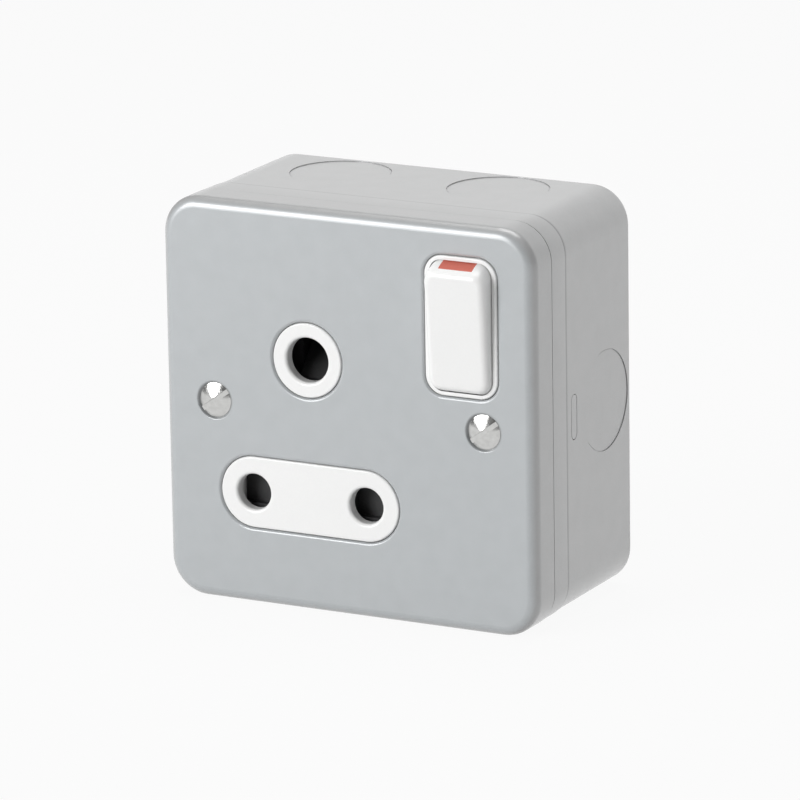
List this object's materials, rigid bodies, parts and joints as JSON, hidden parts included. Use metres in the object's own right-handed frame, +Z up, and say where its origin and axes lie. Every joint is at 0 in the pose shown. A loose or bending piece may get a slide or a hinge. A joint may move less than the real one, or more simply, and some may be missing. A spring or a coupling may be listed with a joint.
{
  "type": "metal clad socket",
  "caption": "Wall socket for round pin plugs with a rocker switch, in a pressed steel surface box with conduit knockouts.",
  "frame": {"origin": "middle of the box's rear face, which lies against the wall", "axes": "+X to the right as seen from the front, +Y into the wall, +Z up"},
  "size_m": [0.083, 0.0473, 0.083],
  "materials": {
    "case_paint": "satin",
    "nickel": "polished",
    "zinc_steel": "satin",
    "brass": "satin",
    "spring_steel": "polished",
    "white_moulding": "gloss",
    "red_inlay": "satin",
    "dark_moulding": "matte",
    "shutter_moulding": "matte"
  },
  "bodies": {
    "housing": {"back_box": "case_paint", "front_plate": "case_paint", "plate_screws": "nickel", "left_plate_lug": "case_paint", "right_plate_lug": "case_paint", "box_earth_terminal": "brass", "box_earth_screw": "zinc_steel", "front_moulding": "white_moulding", "plate_pillars": "zinc_steel", "pillar_screws": "zinc_steel", "socket_base": "dark_moulding", "rear_cover": "dark_moulding", "assembly_screws": "zinc_steel", "line_pivot_strap": "brass", "neutral_pivot_strap": "brass", "line_fixed_contact": "brass", "neutral_fixed_contact": "brass", "line_terminal": "brass", "neutral_terminal": "brass", "earth_terminal": "brass", "terminal_screws": "zinc_steel", "line_pin_socket": "brass", "neutral_pin_socket": "brass", "earth_pin_socket": "brass", "earth_strap": "brass", "plate_earth_strap": "brass", "shutter_spring": "spring_steel"},
    "rocker": {"rocker": "white_moulding", "rocker_flag": "red_inlay", "line_plunger_spring": "spring_steel", "neutral_plunger_spring": "spring_steel"},
    "line_plunger": {"line_plunger": "dark_moulding"},
    "neutral_plunger": {"neutral_plunger": "dark_moulding"},
    "line_contact": {"line_moving_contact": "brass"},
    "neutral_contact": {"neutral_moving_contact": "brass"},
    "shutter": {"shutter": "shutter_moulding"}
  },
  "joints": [
    {"name": "rocker_tilt", "type": "hinge", "parent": "housing", "child": "rocker", "pos_m": [0.0254, -0.039, 0.0208], "axis": [1, 0, 0], "range_deg": [-10, 0]},
    {"name": "line_plunger_slide", "type": "slide", "parent": "rocker", "child": "line_plunger", "axis": [0, 0.9962, 0.0872], "range_m": [-0.001, 0], "stiffness_N_per_m": 200, "springref_m": 0.002},
    {"name": "neutral_plunger_slide", "type": "slide", "parent": "rocker", "child": "neutral_plunger", "axis": [0, 0.9962, 0.0872], "range_m": [-0.001, 0], "stiffness_N_per_m": 200, "springref_m": 0.002},
    {"name": "line_contact_tilt", "type": "hinge", "parent": "housing", "child": "line_contact", "pos_m": [0.0219, -0.0265, 0.0208], "axis": [1, 0, 0], "range_deg": [0, 12]},
    {"name": "neutral_contact_tilt", "type": "hinge", "parent": "housing", "child": "neutral_contact", "pos_m": [0.0289, -0.0265, 0.0208], "axis": [1, 0, 0], "range_deg": [0, 12]},
    {"name": "shutter_slide", "type": "slide", "parent": "housing", "child": "shutter", "axis": [0, 0, -1], "range_m": [0, 0.0082], "stiffness_N_per_m": 60, "springref_m": -0.004, "deforming": ["shutter_spring"]}
  ],
  "couplings": [
    {"joint": "line_contact_tilt", "follows": "rocker_tilt", "ratio": -1.2},
    {"joint": "neutral_contact_tilt", "follows": "rocker_tilt", "ratio": -1.2}
  ]
}
